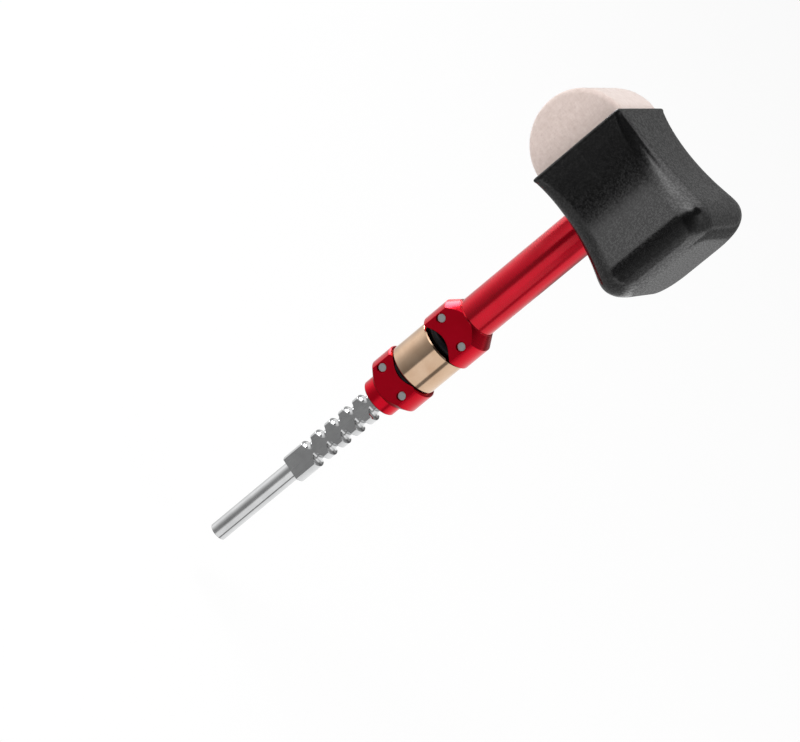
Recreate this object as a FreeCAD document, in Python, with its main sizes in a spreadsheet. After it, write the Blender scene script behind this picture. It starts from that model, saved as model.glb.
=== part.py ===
"""Bass drum beater with a quick change coupling, as separate pieces.

The shaft runs along Z with its lower end at the origin. The felt side of the head faces -X, the moulded
strike face +X. The flats of the bar and of both hubs face the Y directions. All lengths are millimetres.
"""
import FreeCAD, Part
import math
import os
import Sketcher

# Driving dimensions, one cell each
SIZES = {
    # Shaft and notched bar
    "shaft_diameter": 8.0,
    "shaft_length": 45.0,
    "bar_diameter": 12.5,
    "bar_across_flats": 8.1,
    "bar_length": 48.5,
    "groove_radius": 2.6,
    "groove_depth": 2.1,
    "groove_pitch": 8.0,
    "groove_count": 5,
    "first_groove_height": 13.1,
    "shaft_seat_length": 16.5,
    # Both hubs
    "hub_diameter": 25.4,
    "hub_across_flats": 17.6,
    "edge_break": 0.5,
    "pin_diameter": 3.4,
    "pin_spacing": 14.0,
    "pin_recess": 0.7,
    "pin_counterbore_diameter": 4.2,
    "pin_counterbore_depth": 1.3,
    "stem_diameter": 15.0,
    "ring_clearance": 0.05,
    # Lower hub
    "collar_diameter": 16.8,
    "collar_length": 5.2,
    "lower_cone_length": 3.9,
    "lower_hub_length": 10.0,
    "lower_countersink_diameter": 22.4,
    "lower_pin_depth": 6.4,
    # Threaded socket in the lower hub
    "socket_stem_length": 12.0,
    "thread_diameter": 18.4,
    "thread_chamfer": 0.6,
    # Lock sleeve
    "sleeve_diameter": 23.0,
    "sleeve_bore_diameter": 19.0,
    "sleeve_length": 18.1,
    "sleeve_lip_thickness": 2.6,
    "sleeve_lower_gap": 0.3,
    "sleeve_upper_gap": 0.6,
    "turning_clearance": 0.3,
    # Keyed spigot under the upper hub
    "flange_thickness": 2.2,
    "seat_gap": 0.1,
    "key_diameter": 11.0,
    "key_across_flats": 8.0,
    "key_length": 11.0,
    "key_clearance": 0.1,
    "key_end_gap": 0.5,
    "spigot_plug_length": 15.0,
    # Upper hub
    "upper_hub_length": 11.7,
    "upper_cone_length": 4.8,
    "upper_neck_diameter": 18.6,
    "upper_countersink_diameter": 24.6,
    "upper_pin_height": 7.6,
    # Tube, and how far it reaches past the middle of the head
    "tube_diameter": 17.5,
    "tube_bore_diameter": 13.0,
    "tube_tenon_length": 4.7,
    "tube_length": 96.0,
    "tube_reach": 13.4,
    # Head, measured from the shaft's axis along X and from its own centre along Z
    "mouth_offset": 22.2,
    "mouth_length": 44.6,
    "mouth_width": 46.8,
    "mouth_corner_radius": 1.8,
    "waist_length_draw": 3.4,
    "waist_width_draw": 5.4,
    "strike_offset": 36.1,
    "strike_length": 52.4,
    "strike_width": 53.4,
    "strike_corner_radius": 10.0,
    "strike_edge_radius": 9.3,
    "head_bore_clearance": 0.15,
    # Felt pad
    "felt_offset": 21.9,
    "felt_radius": 21.8,
    "felt_thickness": 37.0,
    "felt_back_offset": 12.6,
    "felt_edge_radius": 2.2,
    "felt_clearance": 0.2,
    # Insert in the head and its pin
    "core_diameter": 22.0,
    "core_length": 35.0,
    "core_groove_width": 3.0,
    "core_groove_depth": 1.0,
    "core_groove_inset": 6.0,
    "core_pin_diameter": 4.0,
    "core_pin_inset": 13.0,
    # How far every cut runs past what it cuts
    "cut_overrun": 5.0,
}

# Sections of the head: shares of the way from the mouth to the strike end, then degrees round its edge
WAIST_SHARES = (0, 0.2, 0.4, 0.6, 0.8)
EDGE_ANGLES = (0, 30, 60, 90)

# Power of the share by which the corners of those sections grow rounder
CORNER_POWER = 0.5

doc = FreeCAD.newDocument("beater")
sheet = doc.addObject("Spreadsheet::Sheet", "sizes")
for row, (alias, amount) in enumerate(SIZES.items(), start=1):
    sheet.set(f"A{row}", alias)
    sheet.set(f"B{row}", str(amount))
    sheet.setAlias(f"B{row}", alias)
doc.recompute()

# Radii, as expressions on the sheet
SHAFT_RADIUS = "sizes.shaft_diameter / 2"
BAR_RADIUS = "sizes.bar_diameter / 2"
HUB_RADIUS = "sizes.hub_diameter / 2"
COLLAR_RADIUS = "sizes.collar_diameter / 2"
STEM_RADIUS = "sizes.stem_diameter / 2"
THREAD_RADIUS = "sizes.thread_diameter / 2"
SLEEVE_RADIUS = "sizes.sleeve_diameter / 2"
SLEEVE_BORE = "sizes.sleeve_bore_diameter / 2"
LIP_BORE = f"{STEM_RADIUS} + sizes.turning_clearance"
TUBE_RADIUS = "sizes.tube_diameter / 2"
TUBE_BORE = "sizes.tube_bore_diameter / 2"
CORE_RADIUS = "sizes.core_diameter / 2"
HUB_FLAT = "sizes.hub_across_flats / 2"
LOWER_MOUTH = "sizes.lower_countersink_diameter / 2"
UPPER_MOUTH = "sizes.upper_countersink_diameter / 2"

# Heights along the shaft, as expressions on the sheet
BAR_BOTTOM = "sizes.shaft_length"
BAR_TOP = f"{BAR_BOTTOM} + sizes.bar_length"
SHAFT_TOP = f"{BAR_TOP} + sizes.shaft_seat_length"
COLLAR_TOP = f"{BAR_TOP} + sizes.collar_length"
LOWER_CONE_TOP = f"{COLLAR_TOP} + sizes.lower_cone_length"
LOWER_HUB_TOP = f"{LOWER_CONE_TOP} + sizes.lower_hub_length"
LOWER_PIN_LEVEL = f"{LOWER_HUB_TOP} - sizes.lower_pin_depth"
SOCKET_BOTTOM = f"{LOWER_HUB_TOP} - sizes.socket_stem_length"
SLEEVE_BOTTOM = f"{LOWER_HUB_TOP} + sizes.sleeve_lower_gap"
SLEEVE_TOP = f"{SLEEVE_BOTTOM} + sizes.sleeve_length"
LIP_BOTTOM = f"{SLEEVE_TOP} - sizes.sleeve_lip_thickness"
FLANGE_TOP = f"{LIP_BOTTOM} - sizes.turning_clearance"
FLANGE_BOTTOM = f"{FLANGE_TOP} - sizes.flange_thickness"
SOCKET_TOP = f"{FLANGE_BOTTOM} - sizes.seat_gap"
UPPER_HUB_BOTTOM = f"{SLEEVE_TOP} + sizes.sleeve_upper_gap"
UPPER_PIN_LEVEL = f"{UPPER_HUB_BOTTOM} + sizes.upper_pin_height"
UPPER_CONE_BOTTOM = f"{UPPER_HUB_BOTTOM} + sizes.upper_hub_length"
UPPER_HUB_TOP = f"{UPPER_CONE_BOTTOM} + sizes.upper_cone_length"
TENON_BOTTOM = f"{UPPER_HUB_TOP} - sizes.tube_tenon_length"
PLUG_TOP = f"{TENON_BOTTOM} + sizes.spigot_plug_length"
TUBE_TOP = f"{UPPER_HUB_TOP} + sizes.tube_length"
HEAD_CENTRE = f"{TUBE_TOP} - sizes.tube_reach"
CORE_BOTTOM = f"{HEAD_CENTRE} - sizes.core_length / 2"
CORE_TOP = f"{HEAD_CENTRE} + sizes.core_length / 2"
CORE_PIN_LEVEL = f"{CORE_TOP} - sizes.core_pin_inset"


def number(expression):
    """The present value of an expression on the sheet."""
    return float(sheet.evalExpression(expression))


def minus(expression):
    """The negative of an expression."""
    return f"-({expression})"


def new_body(label):
    """An empty body that carries its node's name."""
    body = doc.addObject("PartDesign::Body", label)
    body.Label = label
    return body


def origin_plane(body, role):
    """One of the body's own origin planes."""
    return next(feature for feature in body.Origin.OriginFeatures if feature.Role == role)


def new_sketch(body, name, plane, offset="0"):
    """A sketch on one of the body's origin planes, moved along that plane's normal."""
    sketch = body.newObject("Sketcher::SketchObject", name)
    sketch.AttachmentSupport = [(origin_plane(body, plane), "")]
    sketch.MapMode = "FlatFace"
    sketch.setExpression("AttachmentOffset.Base.z", offset)
    return sketch


def tie(sketch, kind, geometry, vertex, expression):
    """Fix one coordinate of a point, measured from the sketch's origin."""
    rule = Sketcher.Constraint(kind, -1, 1, geometry, vertex, number(expression))
    sketch.setExpression(f"Constraints[{sketch.addConstraint(rule)}]", expression)


def tie_radius(sketch, geometry, expression):
    """Fix the radius of a circle or an arc."""
    rule = Sketcher.Constraint("Radius", geometry, number(expression))
    sketch.setExpression(f"Constraints[{sketch.addConstraint(rule)}]", expression)


def draw_polygon(sketch, corners):
    """A closed outline of straight lines through corners given as expressions."""
    spots = [FreeCAD.Vector(number(across), number(along), 0) for across, along in corners]
    lines = []
    for start, end in zip(spots, spots[1:] + spots[:1]):
        lines.append(sketch.addGeometry(Part.LineSegment(start, end)))
    for line, following in zip(lines, lines[1:] + lines[:1]):
        sketch.addConstraint(Sketcher.Constraint("Coincident", line, 2, following, 1))
    for line, (across, along) in zip(lines, corners):
        tie(sketch, "DistanceX", line, 1, across)
        tie(sketch, "DistanceY", line, 1, along)


def draw_circle(sketch, across, along, radius):
    """A circle with its centre and radius given as expressions."""
    centre = FreeCAD.Vector(number(across), number(along), 0)
    circle = sketch.addGeometry(Part.Circle(centre, FreeCAD.Vector(0, 0, 1), number(radius)))
    tie(sketch, "DistanceX", circle, 3, across)
    tie(sketch, "DistanceY", circle, 3, along)
    tie_radius(sketch, circle, radius)


def draw_double_flat(sketch, radius, flat):
    """A circle about the origin with two opposite flats, at plus and minus the flat's distance."""
    reach = number(flat)
    half = (number(radius) ** 2 - reach ** 2) ** 0.5
    corners = [FreeCAD.Vector(half, -reach, 0), FreeCAD.Vector(half, reach, 0),
               FreeCAD.Vector(-half, reach, 0), FreeCAD.Vector(-half, -reach, 0)]
    far = FreeCAD.Vector(number(radius), 0, 0)
    right = sketch.addGeometry(Part.Arc(corners[0], far, corners[1]))
    top = sketch.addGeometry(Part.LineSegment(corners[1], corners[2]))
    left = sketch.addGeometry(Part.Arc(corners[2], -far, corners[3]))
    bottom = sketch.addGeometry(Part.LineSegment(corners[3], corners[0]))
    loop = [right, top, left, bottom]
    for piece, following in zip(loop, loop[1:] + loop[:1]):
        sketch.addConstraint(Sketcher.Constraint("Coincident", piece, 2, following, 1))
    for arc in (right, left):
        sketch.addConstraint(Sketcher.Constraint("Coincident", arc, 3, -1, 1))
        tie_radius(sketch, arc, radius)
    for line, distance in ((top, flat), (bottom, minus(flat))):
        sketch.addConstraint(Sketcher.Constraint("Horizontal", line))
        tie(sketch, "DistanceY", line, 1, distance)


def draw_rounded_rectangle(sketch, width, length, centre, corner):
    """A rectangle with round corners, centred on the sketch's vertical axis."""
    right = f"({width}) / 2 - ({corner})"
    top = f"{centre} + ({length}) / 2 - ({corner})"
    bottom = f"{centre} - ({length}) / 2 + ({corner})"
    middles = [(right, top), (minus(right), top), (minus(right), bottom), (right, bottom)]
    arcs = []
    for quarter, (across, along) in enumerate(middles):
        middle = FreeCAD.Vector(number(across), number(along), 0)
        circle = Part.Circle(middle, FreeCAD.Vector(0, 0, 1), number(corner))
        start = quarter * math.pi / 2
        arcs.append(sketch.addGeometry(Part.ArcOfCircle(circle, start, start + math.pi / 2)))
    for arc, following in zip(arcs, arcs[1:] + arcs[:1]):
        start = sketch.getPoint(arc, 2)
        end = sketch.getPoint(following, 1)
        line = sketch.addGeometry(Part.LineSegment(start, end))
        sketch.addConstraint(Sketcher.Constraint("Tangent", arc, 2, line, 1))
        sketch.addConstraint(Sketcher.Constraint("Tangent", line, 2, following, 1))
    for arc, (across, along) in zip(arcs, middles):
        tie(sketch, "DistanceX", arc, 3, across)
        tie(sketch, "DistanceY", arc, 3, along)
        tie_radius(sketch, arc, corner)


def draw_felt_outline(sketch, radius, back):
    """The felt's side view: a disc cut off flat at its back."""
    middle = FreeCAD.Vector(-number("sizes.felt_offset"), number(HEAD_CENTRE), 0)
    reach = number(radius)
    inset = number(back) - middle.x
    half = (reach ** 2 - inset ** 2) ** 0.5
    upper = middle + FreeCAD.Vector(inset, half, 0)
    lower = middle + FreeCAD.Vector(inset, -half, 0)
    arc = sketch.addGeometry(Part.Arc(upper, middle - FreeCAD.Vector(reach, 0, 0), lower))
    line = sketch.addGeometry(Part.LineSegment(lower, upper))
    sketch.addConstraint(Sketcher.Constraint("Coincident", arc, 2, line, 1))
    sketch.addConstraint(Sketcher.Constraint("Coincident", line, 2, arc, 1))
    sketch.addConstraint(Sketcher.Constraint("Vertical", line))
    tie(sketch, "DistanceX", line, 1, back)
    tie(sketch, "DistanceX", arc, 3, minus("sizes.felt_offset"))
    tie(sketch, "DistanceY", arc, 3, HEAD_CENTRE)
    tie_radius(sketch, arc, radius)


def turn(body, name, corners, kind="PartDesign::Revolution"):
    """Turn a profile of radius and height about the shaft's axis, to add or, as a groove, to cut."""
    sketch = new_sketch(body, name + "_profile", "XZ_Plane")
    draw_polygon(sketch, corners)
    feature = body.newObject(kind, name)
    feature.Profile = sketch
    feature.ReferenceAxis = (sketch, ["V_Axis"])
    feature.Angle = 360
    doc.recompute()
    return feature


def cut(body, name, sketch, length=None, reverse=False, both_sides=False):
    """Cut a sketch away, through all or to a length, and make sure that it took something off."""
    before = body.Shape.Volume
    pocket = body.newObject("PartDesign::Pocket", name)
    pocket.Profile = sketch
    pocket.Reversed = reverse
    if both_sides:
        pocket.SideType = "Symmetric"
    if length is None:
        pocket.Type = "ThroughAll"
    else:
        pocket.setExpression("Length", length)
    doc.recompute()
    if not body.Shape.Volume < before:
        raise RuntimeError(name + " cuts nothing")
    return pocket


def pad(body, name, sketch, length, reverse=False, both_sides=False):
    """Raise a sketch to a length."""
    feature = body.newObject("PartDesign::Pad", name)
    feature.Profile = sketch
    feature.Reversed = reverse
    if both_sides:
        feature.SideType = "Symmetric"
    feature.setExpression("Length", length)
    doc.recompute()
    return feature


def cut_hub_flats(body, name, bottom, length):
    """Mill the two wrench flats of a hub."""
    sketch = new_sketch(body, name + "_outline", "XY_Plane", bottom)
    reach = f"{HUB_RADIUS} + sizes.cut_overrun"
    for near, far in ((HUB_FLAT, reach), (minus(HUB_FLAT), minus(reach))):
        draw_polygon(sketch, [(minus(reach), near), (reach, near), (reach, far), (minus(reach), far)])
    cut(body, name, sketch, length, reverse=True)


def cut_pin_holes(body, name, level):
    """Drill the two cross holes that the retaining pins are driven through."""
    sketch = new_sketch(body, name + "_outline", "XZ_Plane")
    for side in ("sizes.pin_spacing / 2", minus("sizes.pin_spacing / 2")):
        draw_circle(sketch, side, level, "sizes.pin_diameter / 2")
    cut(body, name, sketch, both_sides=True)


def cut_pin_mouths(body, name, level):
    """Widen the mouths of the pin holes on both flats."""
    floor = f"{HUB_FLAT} - sizes.pin_counterbore_depth"
    sketch = new_sketch(body, name + "_outline", "XZ_Plane", floor)
    for side in ("sizes.pin_spacing / 2", minus("sizes.pin_spacing / 2")):
        draw_circle(sketch, side, level, "sizes.pin_counterbore_diameter / 2")
    mouths = cut(body, name, sketch, "sizes.pin_counterbore_depth + sizes.cut_overrun", reverse=True)
    mirrored = body.newObject("PartDesign::Mirrored", name + "_mirrored")
    mirrored.Originals = [mouths]
    mirrored.MirrorPlane = (origin_plane(body, "XZ_Plane"), [""])
    body.Tip = mirrored
    doc.recompute()


def drive_shaft():
    """Plain shaft, notched bar with two flats and the seat that goes up into the lower hub."""
    body = new_body("drive_shaft")
    turn(body, "shaft", [("0", "0"), (SHAFT_RADIUS, "0"), (SHAFT_RADIUS, SHAFT_TOP), ("0", SHAFT_TOP)])
    section = new_sketch(body, "bar_section", "XY_Plane", BAR_BOTTOM)
    draw_double_flat(section, BAR_RADIUS, "sizes.bar_across_flats / 2")
    pad(body, "bar", section, "sizes.bar_length")
    notch = new_sketch(body, "groove_section", "XZ_Plane")
    draw_circle(notch, f"{BAR_RADIUS} + sizes.groove_radius - sizes.groove_depth",
                f"{BAR_BOTTOM} + sizes.first_groove_height", "sizes.groove_radius")
    before = body.Shape.Volume
    groove = body.newObject("PartDesign::Groove", "groove")
    groove.Profile = notch
    groove.ReferenceAxis = (notch, ["V_Axis"])
    groove.Angle = 360
    doc.recompute()
    if not body.Shape.Volume < before:
        raise RuntimeError("the groove cuts nothing")
    row = body.newObject("PartDesign::LinearPattern", "groove_row")
    row.Originals = [groove]
    row.Direction = (notch, ["V_Axis"])
    row.setExpression("Length", "sizes.groove_pitch * (sizes.groove_count - 1)")
    row.setExpression("Occurrences", "sizes.groove_count")
    body.Tip = row
    doc.recompute()
    return body


def lower_hub():
    """Collar, cone and hub in one turned piece, open at the top for the socket and its seal."""
    body = new_body("lower_hub")
    turn(body, "lower_hub_form", [
        (SHAFT_RADIUS, BAR_TOP),
        (f"{COLLAR_RADIUS} - sizes.edge_break", BAR_TOP),
        (COLLAR_RADIUS, f"{BAR_TOP} + sizes.edge_break"),
        (COLLAR_RADIUS, COLLAR_TOP),
        (HUB_RADIUS, LOWER_CONE_TOP),
        (HUB_RADIUS, f"{LOWER_HUB_TOP} - sizes.edge_break"),
        (f"{HUB_RADIUS} - sizes.edge_break", LOWER_HUB_TOP),
        (LOWER_MOUTH, LOWER_HUB_TOP),
        (STEM_RADIUS, f"{LOWER_HUB_TOP} - ({LOWER_MOUTH}) + {STEM_RADIUS}"),
        (STEM_RADIUS, SOCKET_BOTTOM),
        (SHAFT_RADIUS, SOCKET_BOTTOM),
    ])
    cut_hub_flats(body, "lower_hub_flats", COLLAR_TOP,
                  f"{LOWER_HUB_TOP} - ({COLLAR_TOP}) + sizes.cut_overrun")
    cut_pin_holes(body, "lower_hub_holes", LOWER_PIN_LEVEL)
    cut_pin_mouths(body, "lower_hub_mouths", LOWER_PIN_LEVEL)
    return body


def socket_core():
    """Threaded socket: stem in the lower hub, shaft seat below, keyed hole above."""
    body = new_body("socket_core")
    turn(body, "socket_form", [
        (SHAFT_RADIUS, SOCKET_BOTTOM),
        (STEM_RADIUS, SOCKET_BOTTOM),
        (STEM_RADIUS, SLEEVE_BOTTOM),
        (THREAD_RADIUS, SLEEVE_BOTTOM),
        (THREAD_RADIUS, f"{SOCKET_TOP} - sizes.thread_chamfer"),
        (f"{THREAD_RADIUS} - sizes.thread_chamfer", SOCKET_TOP),
        ("0", SOCKET_TOP),
        ("0", SHAFT_TOP),
        (SHAFT_RADIUS, SHAFT_TOP),
    ])
    mouth = new_sketch(body, "key_hole_outline", "XY_Plane", SOCKET_TOP)
    draw_double_flat(mouth, "sizes.key_diameter / 2 + sizes.key_clearance",
                     "sizes.key_across_flats / 2 + sizes.key_clearance")
    cut(body, "key_hole", mouth, "sizes.key_length + sizes.key_end_gap")
    cut_pin_holes(body, "socket_notches", LOWER_PIN_LEVEL)
    return body


def lock_sleeve():
    """Union sleeve with an inner lip at its top that draws the spigot's flange down on the socket."""
    body = new_body("lock_sleeve")
    turn(body, "sleeve_form", [
        (SLEEVE_BORE, SLEEVE_BOTTOM),
        (f"{SLEEVE_RADIUS} - sizes.edge_break", SLEEVE_BOTTOM),
        (SLEEVE_RADIUS, f"{SLEEVE_BOTTOM} + sizes.edge_break"),
        (SLEEVE_RADIUS, f"{SLEEVE_TOP} - sizes.edge_break"),
        (f"{SLEEVE_RADIUS} - sizes.edge_break", SLEEVE_TOP),
        (LIP_BORE, SLEEVE_TOP),
        (LIP_BORE, LIP_BOTTOM),
        (SLEEVE_BORE, LIP_BOTTOM),
    ])
    return body


def key_spigot():
    """Keyed end, flange, stem in the upper hub and plug in the tube."""
    body = new_body("key_spigot")
    turn(body, "spigot_form", [
        ("0", FLANGE_BOTTOM),
        (THREAD_RADIUS, FLANGE_BOTTOM),
        (THREAD_RADIUS, FLANGE_TOP),
        (STEM_RADIUS, FLANGE_TOP),
        (STEM_RADIUS, TENON_BOTTOM),
        (TUBE_BORE, TENON_BOTTOM),
        (TUBE_BORE, PLUG_TOP),
        ("0", PLUG_TOP),
    ])
    section = new_sketch(body, "key_section", "XY_Plane", FLANGE_BOTTOM)
    draw_double_flat(section, "sizes.key_diameter / 2", "sizes.key_across_flats / 2")
    pad(body, "key", section, "sizes.key_length", reverse=True)
    cut_pin_holes(body, "spigot_notches", UPPER_PIN_LEVEL)
    return body


def upper_hub():
    """Hub and cone that carry the tube, open at the bottom for the seal and the spigot."""
    body = new_body("upper_hub")
    turn(body, "upper_hub_form", [
        (UPPER_MOUTH, UPPER_HUB_BOTTOM),
        (HUB_RADIUS, UPPER_HUB_BOTTOM),
        (HUB_RADIUS, UPPER_CONE_BOTTOM),
        ("sizes.upper_neck_diameter / 2", UPPER_HUB_TOP),
        (STEM_RADIUS, UPPER_HUB_TOP),
        (STEM_RADIUS, f"{UPPER_HUB_BOTTOM} + {UPPER_MOUTH} - {STEM_RADIUS}"),
    ])
    cut_hub_flats(body, "upper_hub_flats", f"{UPPER_HUB_BOTTOM} - sizes.cut_overrun",
                  f"{UPPER_HUB_TOP} - ({UPPER_HUB_BOTTOM}) + 2 * sizes.cut_overrun")
    cut_pin_holes(body, "upper_hub_holes", UPPER_PIN_LEVEL)
    cut_pin_mouths(body, "upper_hub_mouths", UPPER_PIN_LEVEL)
    return body


def cross_pin(name, diameter, length, across, level):
    """A round pin lying along Y."""
    pin = doc.addObject("Part::Cylinder", name)
    pin.setExpression("Radius", f"{diameter} / 2")
    pin.setExpression("Height", length)
    pin.Placement.Rotation = FreeCAD.Rotation(FreeCAD.Vector(1, 0, 0), -90)
    pin.setExpression("Placement.Base.x", across)
    pin.setExpression("Placement.Base.y", minus(f"({length}) / 2"))
    pin.setExpression("Placement.Base.z", level)
    return pin


def hub_pins(label, level):
    """The pair of retaining pins of one hub, which lie in its stem's notches."""
    length = "sizes.hub_across_flats - 2 * sizes.pin_recess"
    pair = doc.addObject("Part::Compound", label)
    pair.Label = label
    half = "sizes.pin_spacing / 2"
    pair.Links = [cross_pin(label + "_right", "sizes.pin_diameter", length, half, level),
                  cross_pin(label + "_left", "sizes.pin_diameter", length, minus(half), level)]
    return pair


def seal_ring(label, mouth, hub_end, inward):
    """A ring of round section that fills a hub's countersink round the stem."""
    section = f"(({mouth}) - {STEM_RADIUS} - 3 * sizes.ring_clearance) / (2 + sqrt(2))"
    ring = doc.addObject("Part::Torus", label)
    ring.Label = label
    ring.setExpression("Radius1", f"{STEM_RADIUS} + sizes.ring_clearance + {section}")
    ring.setExpression("Radius2", section)
    ring.setExpression("Placement.Base.z", f"{hub_end} {inward} {section}")
    return ring


def beater_tube():
    """Tube from the upper hub into the head, with a thinner tenon at its lower end."""
    body = new_body("beater_tube")
    turn(body, "tube_form", [
        (TUBE_BORE, TENON_BOTTOM),
        (STEM_RADIUS, TENON_BOTTOM),
        (STEM_RADIUS, UPPER_HUB_TOP),
        (TUBE_RADIUS, UPPER_HUB_TOP),
        (TUBE_RADIUS, TUBE_TOP),
        (TUBE_BORE, TUBE_TOP),
    ])
    cut_core_pin_hole(body, "tube_pin_hole")
    return body


def cut_core_pin_hole(body, name):
    """Drill the cross hole of the head's pin."""
    sketch = new_sketch(body, name + "_outline", "XZ_Plane")
    draw_circle(sketch, "0", CORE_PIN_LEVEL, "sizes.core_pin_diameter / 2")
    cut(body, name, sketch, both_sides=True)


def core_outline():
    """Outer profile of the head's insert, with the two grooves that the rubber keys into."""
    floor = f"{CORE_RADIUS} - sizes.core_groove_depth"
    first = f"{CORE_BOTTOM} + sizes.core_groove_inset"
    second = f"{CORE_TOP} - sizes.core_groove_inset - sizes.core_groove_width"
    corners = [(CORE_RADIUS, CORE_BOTTOM)]
    for start in (first, second):
        end = f"{start} + sizes.core_groove_width"
        corners += [(CORE_RADIUS, start), (floor, start), (floor, end), (CORE_RADIUS, end)]
    return corners + [(CORE_RADIUS, CORE_TOP)]


def head_core():
    """Rigid insert that the rubber head is moulded round, with a blind seat for the tube."""
    body = new_body("head_core")
    turn(body, "core_form", core_outline() + [("0", CORE_TOP), ("0", TUBE_TOP), (TUBE_RADIUS, TUBE_TOP),
                                              (TUBE_RADIUS, CORE_BOTTOM)])
    cut_core_pin_hole(body, "core_pin_hole")
    return body


def head_sections():
    """Sections of the rubber head along X, as offset, width, length and corner radius."""
    shoulder = "(sizes.strike_offset - sizes.strike_edge_radius)"
    sections = []
    for share in WAIST_SHARES:
        rest = 1 - share
        draw = 4 * share * rest
        growth = share ** CORNER_POWER
        sections.append((
            f"{share} * {shoulder} - {rest} * sizes.mouth_offset",
            f"{rest} * sizes.mouth_width + {share} * sizes.strike_width - {draw} * sizes.waist_width_draw",
            f"{rest} * sizes.mouth_length + {share} * sizes.strike_length - {draw} * sizes.waist_length_draw",
            f"{1 - growth} * sizes.mouth_corner_radius + {growth} * sizes.strike_corner_radius",
        ))
    for angle in EDGE_ANGLES:
        inset = f"sizes.strike_edge_radius * (1 - cos({angle} deg))"
        sections.append((
            f"{shoulder} + sizes.strike_edge_radius * sin({angle} deg)",
            f"sizes.strike_width - 2 * {inset}",
            f"sizes.strike_length - 2 * {inset}",
            "sizes.strike_corner_radius",
        ))
    return sections


def head_shell():
    """Moulded rubber head: waisted block with an open mouth for the felt and a cavity for the insert."""
    body = new_body("head_shell")
    outlines = []
    for index, (offset, width, length, corner) in enumerate(head_sections()):
        sketch = new_sketch(body, f"head_section_{index}", "YZ_Plane", offset)
        draw_rounded_rectangle(sketch, width, length, HEAD_CENTRE, corner)
        outlines.append(sketch)
    loft = body.newObject("PartDesign::AdditiveLoft", "head_form")
    loft.Profile = outlines[0]
    loft.Sections = outlines[1:]
    doc.recompute()
    mouth = new_sketch(body, "mouth_outline", "XZ_Plane")
    draw_felt_outline(mouth, "sizes.felt_radius + sizes.felt_clearance",
                      "sizes.felt_clearance - sizes.felt_back_offset")
    cut(body, "mouth", mouth, "sizes.felt_thickness + 2 * sizes.felt_clearance", both_sides=True)
    turn(body, "core_cavity", core_outline() + [("0", CORE_TOP), ("0", CORE_BOTTOM)], "PartDesign::Groove")
    entry = new_sketch(body, "tube_entry_outline", "XY_Plane", CORE_BOTTOM)
    draw_circle(entry, "0", "0", f"{TUBE_RADIUS} + sizes.head_bore_clearance")
    cut(body, "tube_entry", entry, "sizes.strike_length")
    return body


def felt_pad():
    """Felt striker, a thick disc with a flat back that sits in the mouth of the head."""
    body = new_body("felt_pad")
    outline = new_sketch(body, "felt_outline", "XZ_Plane")
    draw_felt_outline(outline, "sizes.felt_radius", minus("sizes.felt_back_offset"))
    disc = pad(body, "felt_disc", outline, "sizes.felt_thickness", both_sides=True)
    rims = [f"Edge{index}" for index, edge in enumerate(disc.Shape.Edges, start=1)
            if isinstance(edge.Curve, Part.Circle)]
    edge = body.newObject("PartDesign::Fillet", "felt_edge")
    edge.Base = (disc, rims)
    edge.setExpression("Radius", "sizes.felt_edge_radius")
    body.Tip = edge
    doc.recompute()
    return body


def core_pin():
    """Pin through the insert and the tube."""
    pin = cross_pin("head_pin", "sizes.core_pin_diameter", "sizes.core_diameter - 2 * sizes.pin_recess",
                    "0", CORE_PIN_LEVEL)
    pin.Label = "head_pin"
    return pin


nodes = [
    drive_shaft(),
    lower_hub(),
    hub_pins("lower_hub_pins", LOWER_PIN_LEVEL),
    socket_core(),
    seal_ring("lower_seal_ring", LOWER_MOUTH, LOWER_HUB_TOP, "-"),
    lock_sleeve(),
    key_spigot(),
    seal_ring("upper_seal_ring", UPPER_MOUTH, UPPER_HUB_BOTTOM, "+"),
    upper_hub(),
    hub_pins("upper_hub_pins", UPPER_PIN_LEVEL),
    beater_tube(),
    head_core(),
    core_pin(),
    head_shell(),
    felt_pad(),
]
doc.recompute()

for thing in doc.Objects:
    if "Invalid" in thing.State or "Error" in thing.State:
        raise RuntimeError(f"{thing.Label} failed: {thing.State}")
for node in nodes:
    if node.Shape.isNull() or not node.Shape.isValid():
        raise RuntimeError(f"{node.Label} has no valid shape")

os.makedirs("parts", exist_ok=True)
for node in nodes:
    node.Shape.exportStep(f"parts/{node.Label}.step")
    box = node.Shape.BoundBox
    print(f"{node.Label}: {len(node.Shape.Solids)} solids, {node.Shape.Volume:.1f} mm3, "
          f"z {box.ZMin:.2f} to {box.ZMax:.2f}, x {box.XMin:.2f} to {box.XMax:.2f}")
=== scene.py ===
"""Studio look of a bass drum beater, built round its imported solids.

The shaft stands along Z. The felt faces -X and the moulded strike face +X. Lengths are metres.
"""
import math
import random

import bmesh
import bpy
from mathutils import Matrix, Vector, noise


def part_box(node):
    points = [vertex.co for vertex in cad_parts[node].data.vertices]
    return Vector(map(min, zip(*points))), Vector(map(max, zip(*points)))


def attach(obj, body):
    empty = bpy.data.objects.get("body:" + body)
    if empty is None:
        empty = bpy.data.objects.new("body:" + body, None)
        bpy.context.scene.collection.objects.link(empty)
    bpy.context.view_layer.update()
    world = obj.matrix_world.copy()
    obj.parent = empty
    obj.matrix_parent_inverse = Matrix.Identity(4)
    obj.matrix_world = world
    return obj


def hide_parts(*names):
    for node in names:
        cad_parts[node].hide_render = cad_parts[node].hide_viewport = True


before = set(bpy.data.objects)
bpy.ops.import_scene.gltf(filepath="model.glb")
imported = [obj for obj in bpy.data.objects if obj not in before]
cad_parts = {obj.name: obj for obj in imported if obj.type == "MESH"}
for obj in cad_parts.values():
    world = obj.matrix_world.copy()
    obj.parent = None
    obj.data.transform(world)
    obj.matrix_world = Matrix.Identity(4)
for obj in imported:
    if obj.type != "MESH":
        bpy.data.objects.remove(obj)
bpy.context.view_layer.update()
MM = 0.001

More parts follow.
